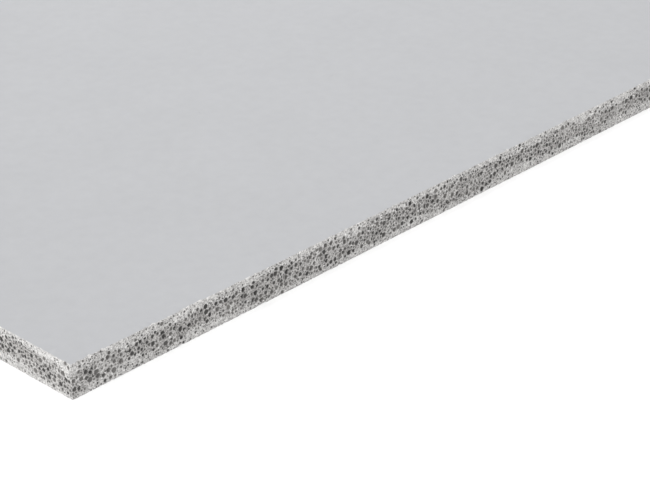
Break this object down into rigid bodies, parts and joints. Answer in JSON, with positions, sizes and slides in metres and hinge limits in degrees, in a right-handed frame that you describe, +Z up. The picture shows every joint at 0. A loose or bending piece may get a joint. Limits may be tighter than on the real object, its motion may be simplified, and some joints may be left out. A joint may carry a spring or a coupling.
{
  "type": "cement board",
  "caption": "Flat square-edged sheet of lightweight aggregate concrete with smooth pale faces and sawn, porous edges, for lining walls and floors and carrying tiles.",
  "frame": {"origin": "middle of the underside, on the floor that the sheet lies on", "axes": "+X along the long edge, +Y along the short edge, +Z up through the thickness to the face"},
  "size_m": [1.25, 1, 0.0125],
  "materials": {
    "cement": "matt, smooth pale grey face; sawn edges with dark grains and pores in a light cement matrix"
  },
  "bodies": {
    "root": {"cement_board": "cement"}
  },
  "joints": []
}
